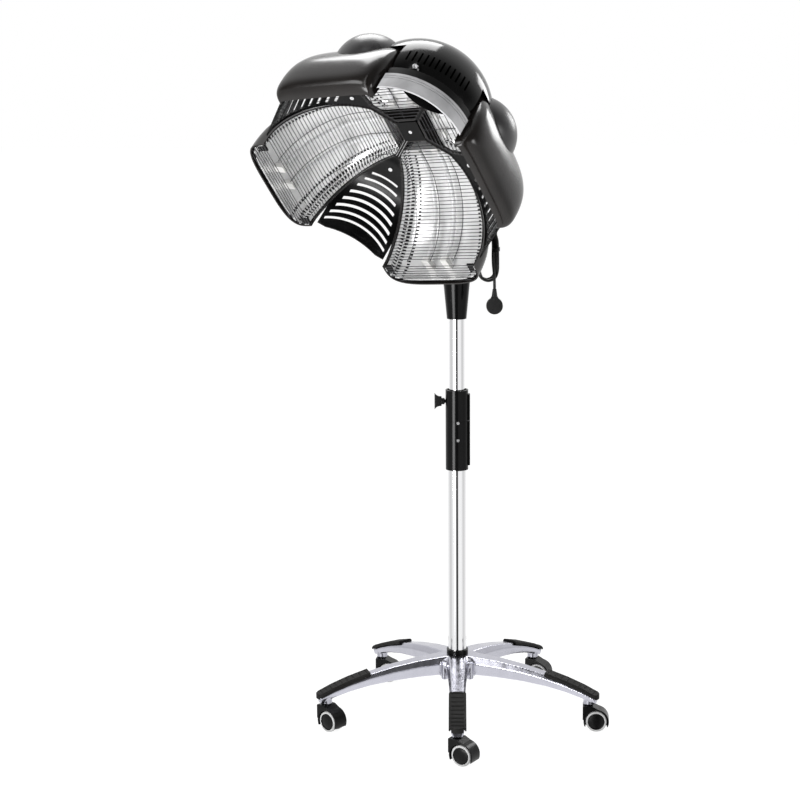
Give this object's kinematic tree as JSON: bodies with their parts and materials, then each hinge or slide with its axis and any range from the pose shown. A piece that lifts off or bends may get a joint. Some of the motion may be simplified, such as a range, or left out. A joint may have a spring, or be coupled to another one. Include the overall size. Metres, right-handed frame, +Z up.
{
  "type": "hair color processor",
  "caption": "Floor-standing salon heat hood with curved infrared lamp arms round a crown, on a height-adjustable pole and a rolling star base.",
  "frame": {"origin": "on the floor under the pole axis", "axes": "+Z up along the pole, one leg points along -Y, the hood hangs out toward -Y"},
  "size_m": [0.7899, 0.8074, 1.5692],
  "materials": {
    "aluminium_legs": "polished",
    "rubber_pads": "ribbed matte",
    "black_gloss": "glossy moulded",
    "black_matte": "satin moulded",
    "tube_chrome": "polished chrome",
    "screw_steel": "bright",
    "wheel_rubber": "smooth tread with grey ring",
    "arm_casting": "black painted casting",
    "guard_wire": "bright wire",
    "reflector_sheet": "mirror polished sheet",
    "quartz": "quartz tube",
    "ceramic": "unglazed ceramic",
    "bracket_black": "black paint",
    "band_grey": "glossy grey",
    "cord_black": "smooth jacket"
  },
  "bodies": {
    "base": {"star_base": "aluminium_legs", "leg_pads": "rubber_pads", "pole_ring": "black_gloss", "pole_lower": "tube_chrome", "clamp_sleeve": "black_gloss", "clamp_screws": "screw_steel", "pole_bush": "black_matte"},
    "knob": {"clamp_knob": "black_matte"},
    "mast": {"pole_upper": "tube_chrome"},
    "neck": {"neck_collar": "black_gloss", "neck_tube": "arm_casting", "tilt_fork": "arm_casting", "tilt_pin": "screw_steel"},
    "arm": {"arm": "arm_casting"},
    "fan": {"fan_rotor": "black_matte"},
    "timer": {"timer_knob": "black_matte"},
    "switch": {"power_switch": "black_matte"},
    "caster_1": {"caster_body_1": "black_gloss"},
    "wheels_1": {"caster_wheels_1": "wheel_rubber"},
    "caster_2": {"caster_body_2": "black_gloss"},
    "wheels_2": {"caster_wheels_2": "wheel_rubber"},
    "caster_3": {"caster_body_3": "black_gloss"},
    "wheels_3": {"caster_wheels_3": "wheel_rubber"},
    "caster_4": {"caster_body_4": "black_gloss"},
    "wheels_4": {"caster_wheels_4": "wheel_rubber"},
    "caster_5": {"caster_body_5": "black_gloss"},
    "wheels_5": {"caster_wheels_5": "wheel_rubber"},
    "hood": {"cover_upper_left": "black_gloss", "cover_upper_right": "black_gloss", "cover_lower_left": "black_gloss", "cover_lower_right": "black_gloss", "nape_panel": "black_gloss", "side_panel_left": "black_gloss", "side_panel_right": "black_gloss", "fan_grille": "black_gloss", "dome": "black_gloss", "ears": "black_gloss", "control_box": "black_gloss", "fascia": "black_matte", "cord_gland": "black_matte", "hub_nut": "black_matte", "hood_screws": "screw_steel", "temperature_sensor": "screw_steel", "fan_motor": "screw_steel", "hood_hub": "arm_casting", "guard_upper_left": "guard_wire", "guard_upper_right": "guard_wire", "guard_lower_left": "guard_wire", "guard_lower_right": "guard_wire", "reflectors": "reflector_sheet", "heating_tubes": "quartz", "tube_holders": "ceramic", "lamp_brackets": "bracket_black", "crown_plate": "bracket_black", "visor_band": "band_grey", "cord": "cord_black", "plug": "black_matte"}
  },
  "joints": [
    {"name": "caster_1_swivel", "type": "hinge", "parent": "base", "child": "caster_1", "pos_m": [0, -0.316, 0.06], "axis": [0, 0, 1], "continuous": true},
    {"name": "wheels_1_spin", "type": "hinge", "parent": "caster_1", "child": "wheels_1", "pos_m": [0.01472, -0.3245, 0.024], "axis": [0.5, 0.866, 0], "continuous": true},
    {"name": "caster_2_swivel", "type": "hinge", "parent": "base", "child": "caster_2", "pos_m": [0.30053, -0.09765, 0.06], "axis": [0, 0, 1], "continuous": true},
    {"name": "wheels_2_spin", "type": "hinge", "parent": "caster_2", "child": "wheels_2", "pos_m": [0.31749, -0.09884, 0.024], "axis": [0.0698, 0.9976, 0], "continuous": true},
    {"name": "caster_3_swivel", "type": "hinge", "parent": "base", "child": "caster_3", "pos_m": [0.18574, 0.25565, 0.06], "axis": [0, 0, 1], "continuous": true},
    {"name": "wheels_3_spin", "type": "hinge", "parent": "caster_3", "child": "wheels_3", "pos_m": [0.20172, 0.24984, 0.024], "axis": [0.342, 0.9397, 0], "continuous": true},
    {"name": "caster_4_swivel", "type": "hinge", "parent": "base", "child": "caster_4", "pos_m": [-0.18574, 0.25565, 0.06], "axis": [0, 0, 1], "continuous": true},
    {"name": "wheels_4_spin", "type": "hinge", "parent": "caster_4", "child": "wheels_4", "pos_m": [-0.16891, 0.25328, 0.024], "axis": [0.1392, 0.9903, 0], "continuous": true},
    {"name": "caster_5_swivel", "type": "hinge", "parent": "base", "child": "caster_5", "pos_m": [-0.30053, -0.09765, 0.06], "axis": [0, 0, 1], "continuous": true},
    {"name": "wheels_5_spin", "type": "hinge", "parent": "caster_5", "child": "wheels_5", "pos_m": [-0.2877, -0.1088, 0.024], "axis": [0.6561, 0.7547, 0], "continuous": true},
    {"name": "mast_slide", "type": "slide", "parent": "base", "child": "mast", "axis": [0, 0, 1], "range_m": [-0.14, 0.14]},
    {"name": "clamp_turn", "type": "hinge", "parent": "base", "child": "knob", "pos_m": [-0.03, 0, 0.748], "axis": [1, 0, 0], "range_deg": [-180, 180]},
    {"name": "neck_swivel", "type": "hinge", "parent": "mast", "child": "neck", "pos_m": [0, 0, 1], "axis": [0, 0, 1], "range_deg": [-120, 120]},
    {"name": "arm_tilt", "type": "hinge", "parent": "neck", "child": "arm", "pos_m": [0, 0, 1.414], "axis": [0.8746, -0.4848, 0], "range_deg": [-20, 5]},
    {"name": "hood_roll", "type": "hinge", "parent": "arm", "child": "hood", "pos_m": [-0.06128, -0.11055, 1.42441], "axis": [-0.3768, -0.6797, -0.6293], "range_deg": [-4, 25]},
    {"name": "fan_spin", "type": "hinge", "parent": "hood", "child": "fan", "pos_m": [-0.02259, -0.28207, 1.49752], "axis": [-0.3768, -0.6797, -0.6293], "continuous": true},
    {"name": "timer_turn", "type": "hinge", "parent": "hood", "child": "timer", "pos_m": [-0.03633, -0.20681, 1.50709], "axis": [0.3768, 0.6797, 0.6293], "range_deg": [0, 300]},
    {"name": "switch_rock", "type": "hinge", "parent": "hood", "child": "switch", "pos_m": [0.00027, -0.2103, 1.48259], "axis": [0.8661, -0.0176, -0.4995], "range_deg": [-12, 0]}
  ]
}
